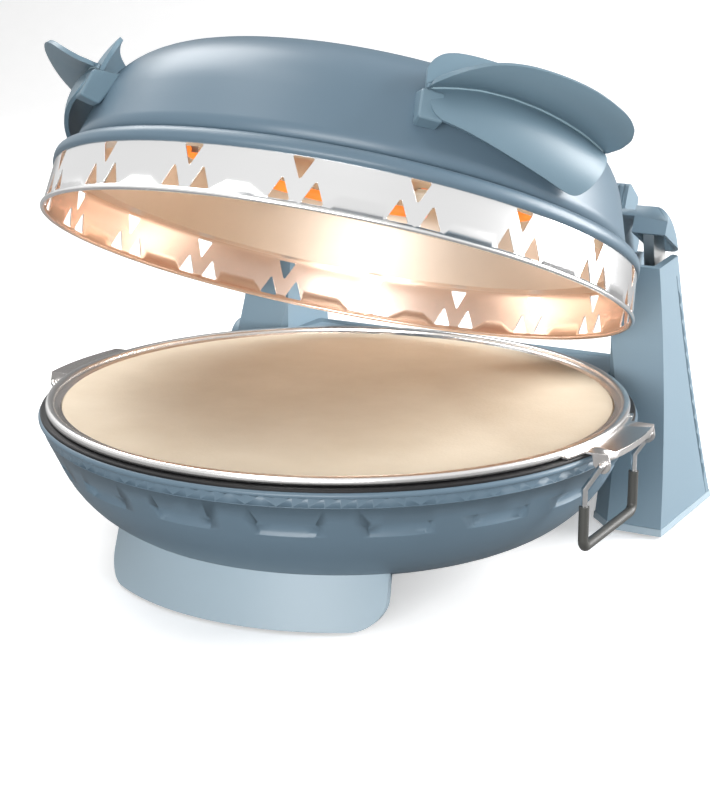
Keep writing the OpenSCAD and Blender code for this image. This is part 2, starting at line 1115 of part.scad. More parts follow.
// cap over the hinge: turned top with a rounded outer edge, flat front, open underside
module cap_solid(in) {
    intersection() {
        translate([0, cap_c[0], cap_c[1]])
            rotate([0, 90, 0])
                rotate_extrude()
                    soft([[0, cap_x[0] + in], [cap_r - in, cap_x[0] + in],
                          [cap_r - in, cap_x[1] - in], [0, cap_x[1] - in]], [0, 0, 9 - in, 0]);
        rotate([90, 0, 90])
            linear_extrude(200)
                polygon([[cap_c[0] + in, 167.4 - 2 * sign(in)], [180.5, 165.4 - 2 * sign(in)],
                         [180.5, 200], [cap_c[0] + in, 200]]);
    }
}

// outer shape of the arm from the dome to the inside of the hinge
module arm_solid(in) {
    translate([arm_in, 0, 0])
        rotate([90, 0, 90])
            linear_extrude(arm_out - arm_in - in)
                soft([[arm_y[0] + in, arm_z[0]], [arm_y[1] - in, arm_z[0]],
                      [arm_y[1] - in, arm_z[1] - 10 - in], [arm_y[1] - 12 - in, arm_z[1] - in],
                      [arm_y[0] + in, arm_z[1] - in]], [0, 0, 6, 8, 3]);
}

module hinge_arm() {
    difference() {
        union() {
            difference() {
                arm_solid(0);
                translate([0, 0, -0.01])
                    arm_solid(2.6);
            }
            for (x = [66, 84, 102])
                translate([x, arm_y[0] + 1, arm_z[0] + 8])
                    cube([2, arm_y[1] - arm_y[0] - 2, arm_z[1] - arm_z[0] - 19]);
            difference() {
                cap_solid(0);
                cap_solid(cap_t);
            }
            translate([arm_out - 2, cap_c[0], 178])
                cube([cap_x[0] - arm_out + 3, 24, 4]);
        }
        dome_block(0);
    }
}

module arm_right() {
    color("lightsteelblue") seated()
    lid_pose()
        hinge_arm();
}

module arm_left() {
    color("lightsteelblue") seated()
    lid_pose()
        mirror([1, 0, 0])
            hinge_arm();
}

// ribbed fairing that stands on each arm beside the dome
module arm_fairings() {
    color("lightsteelblue") seated()
    lid_pose()
        both_sides()
            difference() {
                translate([100, 0, 0])
                    rotate([90, 0, 90])
                        linear_extrude(16)
                            soft([[143, arm_z[1]], [163, arm_z[1]], [165, 195], [143, 200]],
                                 [0, 0, 4, 3]);
                for (x = [102.5 : 3.5 : 114])
                    translate([x, 140, arm_z[1] + 3])
                        cube([1.5, 4.2, 30]);
            }
}

// steel knuckle: an eye on the pin and a plate up into the cap
module knuckle() {
    difference() {
        translate([knuckle_x, 0, 0])
            rotate([90, 0, 90])
                linear_extrude(knuckle_w) {
                    translate([hinge_y, hinge_z])
                        circle(r = 9);
                    polygon([[hinge_y - 8.9, hinge_z - 1], [hinge_y + 3, hinge_z + 8],
                             [176, 170], [176, 190], [150, 190], [150, 170]]);
                }
        difference() {
            translate([knuckle_x - 1, 100, 165.1])
                cube([knuckle_w + 2, 120, 60]);
            cap_solid(cap_t);
        }
        translate([knuckle_x - 1, hinge_y, hinge_z])
            rotate([0, 90, 0])
                cylinder(d = pin_d + 0.1, h = knuckle_w + 2);
    }
}

module knuckles() {
    color("dimgray") seated()
    lid_pose()
        both_sides()
            knuckle();
}

// ---- side grips: a shield facing out, an outer fin flaring from its top edge
// and an inner fin leaning back over the dome, all curved round the lid's axis

shield_c = [ear_w - 16.5, 153.2];
shield_arc = 26;
fin_c = [ear_w + 2, 203.2];
fin_arc = 30;
inner_c = [ear_w - 64.3, 158.7];
inner_arc = 66;

// bent wall between two angles of a circle, its thickness inside the circle
module arc_wall(c, r, a0, a1) {
    intersection() {
        translate(c)
            difference() {
                circle(r = r);
                circle(r = r - ear_t);
            }
        polygon([c, for (k = [0 : 4])
            let (a = a0 + k * (a1 - a0) / 4) c + 2 * r * [cos(a), sin(a)]]);
    }
}

// outline seen from outside, cut straight through the grip
module ear_cut() {
    rotate([90, 0, 90])
        linear_extrude(220)
            children();
}

// a section turned about the lid's axis, as far round as a grip reaches
module ear_turned() {
    rotate([0, 0, -28])
        rotate_extrude(angle = 56, $fn = fine)
            children();
}

module shield() {
    intersection() {
        ear_turned()
            arc_wall(shield_c, shield_arc, -50, 56);
        ear_cut()
            soft([[61, 157.8], [15, 147.3], [-38, 138.7], [-60.8, 173.2], [-60.8, 176],
                  [61, 176]], [4.5, 0, 7, 0, 0, 0]);
    }
}

module outer_fin() {
    intersection() {
        ear_turned()
            arc_wall(fin_c, fin_arc, -98, -23.6);
        translate([0, 0, 150])
            linear_extrude(60)
                soft([[120, -61.5], [ear_w + 12, -61.5], [ear_w + 27, -41], [ear_w + 40, 0],
                      [ear_w + 27, 41], [ear_w + 12, 61.5], [120, 61.5]],
                     [0, 14, 12, 0, 12, 14, 0]);
    }
}

module inner_fin() {
    intersection() {
        ear_turned()
            arc_wall(inner_c, inner_arc, 13.7, 50);
        ear_cut()
            soft([[-60, 165], [60, 165], [60, 199], [-60, 199]], [0, 0, 20, 20]);
    }
}

// post between the dome and one end of the shield, open toward the grip's middle
module ear_post() {
    turn = 20.6;
    difference() {
        rotate([0, 0, turn - 3.6])
            rotate_extrude(angle = 3.6, $fn = fine)
                polygon([[140, 171.5], [ear_w + 1.5, 170.5], [ear_w + 8, 155.2], [150, 151]]);
        rotate([0, 0, turn - 4.6])
            rotate_extrude(angle = 3.6, $fn = fine)
                polygon([[130, 169], [ear_w - 0.5, 168], [ear_w + 4.6, 157.2], [130, 153.6]]);
    }
}

// the left grip in its place on the shut lid
module ear() {
    rotate([0, 0, 180 + ear_turn]) {
        shield();
        outer_fin();
        inner_fin();
        difference() {
            union() {
                ear_post();
                mirror([0, 1, 0])
                    ear_post();
            }
            dome_block(0);
        }
    }
}

module ear_right() {
    color("lightsteelblue") seated()
    lid_pose()
        mirror([1, 0, 0])
            ear();
}

module ear_left() {
    color("lightsteelblue") seated()
    lid_pose()
        ear();
}

// ================= stone tray =================

tray_wall = 165.2;
tray_rim_c = [rim_r - 7.6, gasket_top + 1.9];
tray_rim_r = 1.6;
ledge_z = lip_top + 0.3;
flange_z = tray_rim_c[1] + 0.8;
tray_t = 0.8;

// rolled outer rim, flat flange, straight wall and the inner ledge the stone rests on
module tray_ring() {
    color("silver") seated()
    rotate_extrude() {
        translate(tray_rim_c)
            circle(r = tray_rim_r);
        translate([tray_wall - tray_t, flange_z - tray_t])
            square([tray_rim_c[0] - tray_wall + tray_t, tray_t]);
        translate([tray_wall - tray_t, ledge_z])
            square([tray_t, flange_z - ledge_z]);
        translate([tray_wall - 7, ledge_z])
            square([7, tray_t]);
    }
}

module pizza_stone() {
    color("antiquewhite") seated()
    rotate_extrude()
        soft([[0, ledge_z + tray_t], [tray_wall - tray_t - 0.3, ledge_z + tray_t],
              [tray_wall - tray_t - 0.3, ledge_z + tray_t + stone_t],
              [0, ledge_z + tray_t + stone_t]], [0, 1, 1.2, 0]);
}

// handle brackets on both sides of the tray
plate_z = gasket_top + 0.5;
plate_t = 1.2;
plate_r = rim_r + 12;
plate_half = 35;
wing_r = plate_r - 14;
wing_half = 50;
pivot = [rim_r + 5.5, rim_h - 3];

module bracket_section() {
    difference() {
        square([plate_r, 300]);
        square([tray_rim_c[0], 300]);
        translate(tray_rim_c)
            circle(r = tray_rim_r);
    }
}

module bracket() {
    difference() {
        intersection() {
            rotate_extrude()
                difference() {
                    union() {
                        translate([tray_rim_c[0] + 0.2, plate_z])
                            square([plate_r - tray_rim_c[0] - 0.2, plate_t]);
                        translate([plate_r - plate_t, plate_z - 2.4])
                            square([plate_t, 2.5]);
                    }
                    translate(tray_rim_c)
                        circle(r = tray_rim_r);
                }
            translate([0, 0, 80])
                linear_extrude(30) {
                    translate([100, -plate_half])
                        square([120, 2 * plate_half]);
                    intersection() {
                        circle(r = wing_r);
                        translate([100, -wing_half])
                            square([120, 2 * wing_half]);
                    }
                }
        }
    }
    for (s = [-1, 1])
        difference() {
            translate([0, s > 0 ? plate_half : plate_t - plate_half, 0])
                rotate([90, 0, 0])
                    linear_extrude(plate_t)
                        soft([[pivot[0] - 5, pivot[1] - 5], [pivot[0] + 5, pivot[1] - 5],
                              [plate_r - 3.2, plate_z + 0.1], [pivot[0] - 6.5, plate_z + 0.1]],
                             [4.9, 4.9, 0, 0]);
            translate([pivot[0], s * plate_half, pivot[1]])
                rotate([90, 0, 0])
                    cylinder(d = wire_d + 0.1, h = 10, center = true);
        }
}

module tray_brackets() {
    color("silver") seated()
    both_sides()
        bracket();
}

// rivets through the bracket wings and a clamp screw on the rolled rim
rivet_turn = 14.6;
rivet_r = wing_r - 2;

module tray_rivets() {
    color("silver") seated()
    both_sides()
        for (s = [-1, 1])
            rotate([0, 0, s * rivet_turn])
                translate([rivet_r, 0, plate_z + plate_t])
                    cylinder(d1 = 3.4, d2 = 2.6, h = 0.4);
}

// ---- hanging handles: a cranked wire with soft sleeves

crank_in = 9;
crank_z = 75;
grip_top = 65;
corner_in = 5;
leg_x = pivot[0] - crank_in;

// centre line of one half of the handle, drawn with rods of a given thickness
module bail_low(d) {
    rod([leg_x, bail_half, grip_top], [leg_x, bail_half, bail_low + corner_in], d);
    translate([leg_x, bail_half - corner_in, bail_low + corner_in])
        rotate([0, 90, 0])
            rotate_extrude(angle = 90)
                translate([corner_in, 0])
                    circle(d = d);
    rod([leg_x, 0, bail_low], [leg_x, bail_half - corner_in, bail_low], d);
}

module bail_high(d) {
    rod([pivot[0], plate_half - 3.4, pivot[1]], [pivot[0], bail_half, pivot[1]], d);
    translate([pivot[0], bail_half, pivot[1]])
        sphere(d = d + 0.16);
    rod([pivot[0], bail_half, pivot[1]], [leg_x, bail_half, crank_z], d);
    translate([leg_x, bail_half, crank_z])
        sphere(d = d + 0.16);
    rod([leg_x, bail_half, crank_z], [leg_x, bail_half, grip_top], d);
}

module front_and_back() {
    children();
    mirror([0, 1, 0])
        children();
}

module bail_wire() {
    front_and_back() {
        bail_high(wire_d);
        bail_low(wire_d);
        translate([pivot[0], plate_half - 2.2, pivot[1]])
            rotate([90, 0, 0])
                cylinder(d = wire_d + 1.8, h = 1.2);
    }
}

module bail_grip() {
    difference() {
        front_and_back()
            bail_low(grip_d);
        bail_wire();
    }
}

module bail_right() {
    color("silver") seated()
        bail_wire();
}

module bail_left() {
    color("silver") seated()
        mirror([1, 0, 0])
            bail_wire();
}

module grip_right() {
    color("dimgray") seated()
        bail_grip();
}

module grip_left() {
    color("dimgray") seated()
        mirror([1, 0, 0])
            bail_grip();
}

// ================= nodes =================

base_bowl();
rim_gasket();
lower_reflector();
lower_heater();
lower_bushings();
lower_clips();
front_foot();
rubber_pads();
bowl_bolts();
upright_right();
upright_left();
upright_bases();
base_screws();
rear_housing();
rear_cover();
cover_screws();
cord_gland();
hinge_pins();
hinge_spacers();
thermostat();
dial_shaft();
thermostat_dial();
pilot_lamp();
dome();
lid_collar();
perforated_band();
upper_reflector();
upper_heater();
upper_bushings();
upper_clips();
arm_right();
arm_left();
arm_fairings();
knuckles();
ear_right();
ear_left();
tray_ring();
pizza_stone();
tray_brackets();
tray_rivets();
bail_right();
bail_left();
grip_right();
grip_left();
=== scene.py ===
# Countertop stone pizza oven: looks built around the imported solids
import bpy
import bmesh
import math
import numpy as np
from mathutils import Matrix, Vector


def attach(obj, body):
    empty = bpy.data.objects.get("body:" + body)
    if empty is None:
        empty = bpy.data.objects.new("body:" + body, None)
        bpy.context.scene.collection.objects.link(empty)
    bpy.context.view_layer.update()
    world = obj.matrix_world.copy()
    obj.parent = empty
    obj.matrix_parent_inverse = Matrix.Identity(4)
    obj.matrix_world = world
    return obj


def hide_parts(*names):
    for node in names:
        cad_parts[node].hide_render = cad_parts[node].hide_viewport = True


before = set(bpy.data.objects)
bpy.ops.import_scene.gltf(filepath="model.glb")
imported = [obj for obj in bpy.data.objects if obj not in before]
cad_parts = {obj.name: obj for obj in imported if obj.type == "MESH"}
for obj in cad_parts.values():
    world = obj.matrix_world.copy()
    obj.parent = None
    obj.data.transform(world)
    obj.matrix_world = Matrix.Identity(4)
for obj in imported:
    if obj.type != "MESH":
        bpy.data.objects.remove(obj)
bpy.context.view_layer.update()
scene = bpy.context.scene
print("frame loaded:", len(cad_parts), "nodes")

camera = {  # metres and degrees, in the same frame as the solids
    "place": (0.543914, -0.996965, 0.398535),
    "azimuth": 29.0716, "elevation": 14.9329,
    "lens": 95.779, "sensor": 36, "shift": (0.0353, -0.0133), "clip": (0.05, 50),
}


def makeCamera(c):
    # back = (sin a cos e, -cos a cos e, sin e); right and up complete the square frame
    a, e = math.radians(c["azimuth"]), math.radians(c["elevation"])
    back = Vector((math.sin(a) * math.cos(e), -math.cos(a) * math.cos(e), math.sin(e)))
    right = Vector((math.cos(a), math.sin(a), 0))
    up = back.cross(right)
    data = bpy.data.cameras.new("studioCamera")
    data.sensor_fit, data.sensor_width, data.lens = "HORIZONTAL", c["sensor"], c["lens"]
    data.shift_x, data.shift_y = c["shift"]
    data.clip_start, data.clip_end = c["clip"]
    ob = bpy.data.objects.new("studioCamera", data)
    m = Matrix.Identity(4)
    for i, v in enumerate((right, up, back)):
        m[0][i], m[1][i], m[2][i] = v
    m.translation = Vector(c["place"])
    ob.matrix_world = m
    scene.collection.objects.link(ob)
    scene.camera = ob


makeCamera(camera)
print("camera set")

midY = 0.0186035  # the bowl's axis lies this far in front of the frame's origin
lidTurn = math.radians(23.35)  # from shut to stored, about the hinge
hingeAt = np.array([0.0, 0.1633965, 0.1397])
lidTilt = np.array([[1, 0, 0], [0, math.cos(lidTurn), math.sin(lidTurn)],
                    [0, -math.sin(lidTurn), math.cos(lidTurn)]])


def lidPose(p):
    # points of the shut lid, less the hinge, times the tilt matrix, plus the hinge
    return (np.asarray(p, float) - hingeAt) @ lidTilt.T + hingeAt


def aboutAxis(points, normals, raised):
    # undoes the lid's tilt on raised pieces, then shifts the bowl's axis to x = y = 0
    turn = lidTilt if raised else np.eye(3)
    return (points - hingeAt) @ turn + hingeAt + np.array([0, midY, 0]), normals @ turn


def link(g, source, node, socket):
    # source is (node, output)
    g.links.new(source[0].outputs[source[1]], node.inputs[socket])


def feed(g, value, node, socket):
    # a (node, output) pair is linked, a number or a colour is set on the socket
    if isinstance(value, tuple) and isinstance(value[0], bpy.types.Node):
        link(g, value, node, socket)
    else:
        node.inputs[socket].default_value = value


def mixColour(g, first, second, amount, blend="MIX"):
    # first to second by amount; a colour Mix node has them at sockets 6, 7 and 0
    m = g.nodes.new("ShaderNodeMix")
    m.data_type, m.blend_type, m.clamp_result = "RGBA", blend, True
    for socket, value in ((6, first), (7, second), (0, amount)):
        feed(g, value, m, socket)
    return (m, 2)


def rampOf(g, source, stops):
    # a colour ramp with a stop at each (place, grey or colour)
    r = g.nodes.new("ShaderNodeValToRGB")
    link(g, source, r, 0)
    e = r.color_ramp.elements
    while len(e) < len(stops):
        e.new(0.5)
    for item, (at, v) in zip(e, stops):
        item.position = at
        item.color = (v, v, v, 1) if not isinstance(v, tuple) else v
    return (r, 0)


def noiseOf(g, vector, scale, detail=3.0, rough=0.5):
    # fractal noise; the scale may be a number or a (node, output) pair
    n = g.nodes.new("ShaderNodeTexNoise")
    link(g, vector, n, "Vector")
    feed(g, scale, n, "Scale")
    n.inputs["Detail"].default_value = detail
    n.inputs["Roughness"].default_value = rough
    return (n, 0)


def mathOf(g, op, *values):
    # one Math node on up to three numbers or (node, output) pairs
    m = g.nodes.new("ShaderNodeMath")
    m.operation = op
    for i, v in enumerate(values):
        feed(g, v, m, i)
    return (m, 0)


def offHalf(g, source):
    # noise about nought: value less a half
    return mathOf(g, "SUBTRACT", source, 0.5)


def scaledColour(g, source, gain):
    # colour times (1 + gain)
    n = g.nodes.new("ShaderNodeVectorMath")
    n.operation = "SCALE"
    link(g, source, n, 0)
    link(g, mathOf(g, "ADD", gain, 1), n, "Scale")
    return (n, 0)


floatKind, colourKind, vectorKind = "NodeSocketFloat", "NodeSocketColor", "NodeSocketVector"


def newGroup(name, inputs):
    # a shader group with the given inputs that puts out a colour, a roughness and a height
    g = bpy.data.node_groups.new(name, "ShaderNodeTree")
    for label, kind, value in inputs:
        s = g.interface.new_socket(name=label, in_out="INPUT", socket_type=kind)
        s.default_value = value
    for label, kind in (("Colour", colourKind), ("Roughness", floatKind), ("Height", floatKind)):
        g.interface.new_socket(name=label, in_out="OUTPUT", socket_type=kind)
    return g, g.nodes.new("NodeGroupInput"), g.nodes.new("NodeGroupOutput")


paintLook = {"slow": (9, 4), "fine": (140, 3), "fineShare": 0.35, "peelDetail": 2,
             "gloss": 0.4, "coatRough": 0.25, "peelDepth": 0.0004, "edge": 0.0004}


def makePaintGroup(k):
    # paint and moulded plastic: slow colour drift, dusty patches in roughness, fine peel as height
    g, gin, gout = newGroup("paintedSkin", [("Vector", vectorKind, (0, 0, 0)),
                                            ("Colour", colourKind, (0.2, 0.3, 0.35, 1)),
                                            ("Drift", floatKind, 0.06),
                                            ("Roughness", floatKind, 0.4),
                                            ("Uneven", floatKind, 0.05),
                                            ("Peel Scale", floatKind, 900.0)])
    slow = offHalf(g, noiseOf(g, (gin, "Vector"), *k["slow"]))
    fine = offHalf(g, noiseOf(g, (gin, "Vector"), *k["fine"]))
    both = mathOf(g, "ADD", slow, mathOf(g, "MULTIPLY", fine, k["fineShare"]))
    gain = mathOf(g, "MULTIPLY", both, (gin, "Drift"))
    link(g, scaledColour(g, (gin, "Colour"), gain), gout, "Colour")
    link(g, mathOf(g, "MULTIPLY_ADD", both, (gin, "Uneven"), (gin, "Roughness")), gout, "Roughness")
    link(g, noiseOf(g, (gin, "Vector"), (gin, "Peel Scale"), k["peelDetail"]), gout, "Height")
    return g


brushLook = {"lines": (1, 4, 0.7), "cloud": (14, 3), "lineDepth": 0.0003, "edge": 0.0003}


def makeBrushGroup(k):
    # brushed sheet: streaks are noise drawn out along the two slow axes, over a soft cloud
    g, gin, gout = newGroup("brushedSheet", [("Vector", vectorKind, (0, 0, 0)),
                                             ("Colour", colourKind, (0.8, 0.8, 0.8, 1)),
                                             ("Streak", vectorKind, (8, 8, 900)),
                                             ("Roughness", floatKind, 0.25),
                                             ("Depth", floatKind, 0.12)])
    pull = g.nodes.new("ShaderNodeVectorMath")
    pull.operation = "MULTIPLY"
    link(g, (gin, "Vector"), pull, 0)
    link(g, (gin, "Streak"), pull, 1)
    lines = noiseOf(g, (pull, 0), *k["lines"])
    streaks = offHalf(g, lines)
    both = mathOf(g, "ADD", streaks, offHalf(g, noiseOf(g, (gin, "Vector"), *k["cloud"])))
    gain = mathOf(g, "MULTIPLY", both, (gin, "Depth"))
    link(g, scaledColour(g, (gin, "Colour"), gain), gout, "Colour")
    link(g, mathOf(g, "MULTIPLY_ADD", streaks, (gin, "Depth"), (gin, "Roughness")), gout, "Roughness")
    link(g, lines, gout, "Height")
    return g


grainLook = {"cloud": (16, 5, 0.6), "tone": [(0.3, (0.90, 0.88, 0.85, 1)), (0.7, (1.0, 1.0, 1.0, 1))],
             "dotSize": 0.16, "sandDetail": 5, "rough": (0.2, 0.7), "pore": 0.6, "sandDepth": 0.0006,
             "edge": 0.0006}


def makeGrainGroup(k):
    # baked stone and ceramic: cloudy colour, specks and open pores
    g, gin, gout = newGroup("bakedGrain", [("Vector", vectorKind, (0, 0, 0)),
                                           ("Colour", colourKind, (0.8, 0.75, 0.65, 1)),
                                           ("Speck Colour", colourKind, (0.45, 0.36, 0.26, 1)),
                                           ("Speck", floatKind, 0.5),
                                           ("Scale", floatKind, 420.0)])
    dots = g.nodes.new("ShaderNodeTexVoronoi")
    link(g, (gin, "Vector"), dots, "Vector")
    link(g, (gin, "Scale"), dots, "Scale")
    mask = rampOf(g, (dots, 0), [(0.0, 1.0), (k["dotSize"], 0.0)])
    sand = noiseOf(g, (gin, "Vector"), (gin, "Scale"), k["sandDetail"])
    tone = rampOf(g, noiseOf(g, (gin, "Vector"), *k["cloud"]), k["tone"])
    clouded = mixColour(g, (gin, "Colour"), tone, 1.0, "MULTIPLY")
    amount = mathOf(g, "MULTIPLY", mask, (gin, "Speck"))
    link(g, mixColour(g, clouded, (gin, "Speck Colour"), amount), gout, "Colour")
    link(g, mathOf(g, "MULTIPLY_ADD", sand, *k["rough"]), gout, "Roughness")
    link(g, mathOf(g, "SUBTRACT", sand, mathOf(g, "MULTIPLY", mask, k["pore"])), gout, "Height")
    return g


paintedSkin = makePaintGroup(paintLook)
brushedSheet = makeBrushGroup(brushLook)
bakedGrain = makeGrainGroup(grainLook)


def startMaterial(name, turned=False):
    # object coordinates; turned lays them square to the shut lid
    m = bpy.data.materials.new(name)
    m.use_nodes = True
    t = m.node_tree
    coord = t.nodes.new("ShaderNodeTexCoord")
    place = t.nodes.new("ShaderNodeMapping")
    place.vector_type = "POINT"
    place.inputs["Rotation"].default_value = (lidTurn if turned else 0, 0, 0)
    link(t, (coord, "Object"), place, "Vector")
    return m, t, t.nodes["Principled BSDF"], place


def useGroup(t, group, place, shader, **values):
    # the group's colour and roughness go to the shader; its node comes back for the bump
    n = t.nodes.new("ShaderNodeGroup")
    n.node_tree = group
    link(t, (place, 0), n, "Vector")
    for k, v in values.items():
        n.inputs[k.replace("_", " ")].default_value = v
    link(t, (n, "Colour"), shader, "Base Color")
    link(t, (n, "Roughness"), shader, "Roughness")
    return n


def bumpFrom(t, source, shader, strength, distance, edge=0.0):
    # height to normal, over corners that look rounded by the radius edge
    b = t.nodes.new("ShaderNodeBump")
    b.inputs["Strength"].default_value = strength
    b.inputs["Distance"].default_value = distance
    link(t, source, b, "Height")
    if edge:
        soft = t.nodes.new("ShaderNodeBevel")
        soft.samples = 4
        soft.inputs["Radius"].default_value = edge
        link(t, (soft, 0), b, "Normal")
    link(t, (b, 0), shader, "Normal")


def srgb(r, g, b):
    # 0-255 screen colour to linear
    v = np.array([r, g, b]) / 255
    lin = np.where(v <= 0.04045, v / 12.92, ((v + 0.055) / 1.055) ** 2.4)
    return (float(lin[0]), float(lin[1]), float(lin[2]), 1.0)


def paintMaterial(name, colour, rough, drift=0.06, peel=900, bump=0.05, coat=0.0, turned=False):
    # enamel, plastic and rubber
    m, t, shader, place = startMaterial(name, turned)
    skin = useGroup(t, paintedSkin, place, shader, Colour=colour, Drift=drift, Roughness=rough,
                    Peel_Scale=peel)
    shader.inputs["Coat Weight"].default_value = coat
    shader.inputs["Specular IOR Level"].default_value = paintLook["gloss"]
    shader.inputs["Coat Roughness"].default_value = paintLook["coatRough"]
    bumpFrom(t, (skin, "Height"), shader, bump, paintLook["peelDepth"], paintLook["edge"])
    return m


def steelMaterial(name, colour, rough, streak, depth=0.1, bump=0.03, turned=False):
    # bare metal
    m, t, shader, place = startMaterial(name, turned)
    sheet = useGroup(t, brushedSheet, place, shader, Colour=colour, Streak=streak, Roughness=rough,
                     Depth=depth)
    shader.inputs["Metallic"].default_value = 1.0
    bumpFrom(t, (sheet, "Height"), shader, bump, brushLook["lineDepth"], brushLook["edge"])
    return m


def grainMaterial(name, colour, speck, amount, scale, bump):
    # stone and ceramic
    m, t, shader, place = startMaterial(name)
    body = useGroup(t, bakedGrain, place, shader, Colour=colour, Speck_Colour=speck, Speck=amount,
                    Scale=scale)
    bumpFrom(t, (body, "Height"), shader, bump, grainLook["sandDepth"], grainLook["edge"])
    return m


def insideTint(m, colour, amount):
    # the attribute "inside" is 1 on faces that look toward the lid's axis; they take a salmon tint
    t = m.node_tree
    shader = t.nodes["Principled BSDF"]
    mark = t.nodes.new("ShaderNodeAttribute")
    mark.attribute_name = "inside"
    base = shader.inputs["Base Color"].links[0].from_socket
    share = mathOf(t, "MULTIPLY", (mark, "Fac"), amount)
    link(t, mixColour(t, (base.node, base.name), colour, share), shader, "Base Color")
    return m


glowLook = {"spots": (60, 3), "darkShare": 0.6, "seen": 0.8, "cast": 0.2, "rough": 0.6,
            "bump": (0.1, 0.0003)}


def glowMaterial(name, base, glow, strength, k):
    # spotted glow, strong to the eye but lighting its surroundings only a little
    m, t, shader, place = startMaterial(name)
    heat = noiseOf(t, (place, 0), *k["spots"])
    dark = tuple(k["darkShare"] * c for c in glow[:3]) + (1,)
    link(t, rampOf(t, heat, [(0.25, dark), (0.75, glow)]), shader, "Emission Color")
    ray = t.nodes.new("ShaderNodeLightPath")
    link(t, mathOf(t, "MULTIPLY_ADD", (ray, "Is Camera Ray"), strength * k["seen"],
                   strength * k["cast"]), shader, "Emission Strength")
    shader.inputs["Base Color"].default_value = base
    shader.inputs["Roughness"].default_value = k["rough"]
    bumpFrom(t, heat, shader, *k["bump"])
    return m


moulded = {"peel": 1500, "bump": 0.08}  # finer and deeper peel than enamel
enamelBlue = srgb(100, 121, 136)
finish = {
    "enamel": paintMaterial("enamel", enamelBlue, 0.38, coat=0.08),
    "enamelLid": paintMaterial("enamelLid", enamelBlue, 0.38, coat=0.08, turned=True),
    "plastic": paintMaterial("plastic", srgb(122, 144, 158), 0.42, **moulded),
    "plasticLid": paintMaterial("plasticLid", srgb(112, 136, 150), 0.42, turned=True, **moulded),
    # a paler copy of the lid plastic for the crease bead: a painted highlight line
    "highlightPlasticLid": paintMaterial("highlightPlasticLid", srgb(150, 176, 186), 0.4, turned=True,
                                    **moulded),
    "palePlastic": paintMaterial("palePlastic", srgb(164, 182, 193), 0.45, **moulded),
    # a paler copy of the body plastic for the front foot: painted light for its brighter face
    "litFootPlastic": paintMaterial("litFootPlastic", srgb(160, 178, 189), 0.45, **moulded),
    "darkPlastic": paintMaterial("darkPlastic", srgb(76, 76, 73), 0.38, peel=1200, bump=0.1),
    "sealRubber": paintMaterial("sealRubber", srgb(22, 22, 24), 0.5, peel=1200, bump=0.1),
    "padRubber": paintMaterial("padRubber", srgb(52, 52, 52), 0.7, bump=0.2),
    "band": insideTint(steelMaterial("band", (0.88, 0.88, 0.88, 1), 0.24, (3, 3, 1500), 0.03,
                                     0.01, turned=True), (0.93, 0.72, 0.6, 1), 0.85),
    "trayRim": steelMaterial("trayRim", (0.9, 0.89, 0.88, 1), 0.24, (6, 6, 1500), 0.04, 0.01),
    "plate": steelMaterial("plate", (0.72, 0.69, 0.67, 1), 0.26, (1200, 12, 12), 0.06, 0.02),
    "wireSteel": steelMaterial("wireSteel", (0.8, 0.8, 0.8, 1), 0.16, (20, 20, 20), 0.05),
    "reflector": steelMaterial("reflector", srgb(246, 230, 214), 0.42, (40, 40, 40), 0.08, 0.02,
                               turned=True),
    "zinc": steelMaterial("zinc", (0.62, 0.62, 0.61, 1), 0.35, (60, 60, 60)),
    "brassShaft": steelMaterial("brassShaft", (0.7, 0.54, 0.25, 1), 0.3, (300, 300, 10)),
    "ceramic": grainMaterial("ceramic", srgb(236, 230, 216), srgb(180, 170, 150), 0.2, 900, 0.1),
    "stone": grainMaterial("stone", srgb(240, 228, 206), srgb(196, 174, 140), 0.3, 520, 0.25),
    "hotElement": glowMaterial("hotElement", (0.25, 0.07, 0.03, 1), (1.0, 0.2, 0.02, 1), 1.6, glowLook),
    "coolElement": paintMaterial("coolElement", srgb(92, 74, 62), 0.5, drift=0.3, peel=700, bump=0.1),
    "lampLens": glowMaterial("lampLens", (0.6, 0.05, 0.03, 1), (1.0, 0.12, 0.05, 1), 1.2, glowLook),
}
print("materials made:", len(finish))


def meshFromGrid(name, p, nu, nv, closeU=False, closeV=False):
    # p is an (nu * nv, 3) array, row by row; quads join each point with the next in u and in v
    i = np.arange(nu if closeU else nu - 1)[:, None]
    j = np.arange(nv if closeV else nv - 1)[None, :]
    a = i * nv + j
    b = ((i + 1) % nu) * nv + j
    c = ((i + 1) % nu) * nv + (j + 1) % nv
    d = i * nv + (j + 1) % nv
    quads = np.stack([a, b, c, d], -1).reshape(-1, 4)
    data = bpy.data.meshes.new(name)
    data.from_pydata(np.asarray(p, float).tolist(), [], quads.tolist())
    data.update()
    return data


def addPiece(name, data, look, body, angle=None, replaces=()):
    # a smooth piece on a body, with its finish; edges past the angle stay sharp
    data.materials.append(finish[look])
    data.shade_smooth()
    if angle:
        data.set_sharp_from_angle(angle=math.radians(angle))
    ob = bpy.data.objects.new(name, data)
    scene.collection.objects.link(ob)
    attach(ob, body)
    if replaces:
        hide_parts(*replaces)
    return ob


def vectorsOf(items, label):
    # foreach_get into an (n, 3) array
    flat = np.empty(len(items) * 3)
    items.foreach_get(label, flat)
    return flat.reshape(-1, 3)


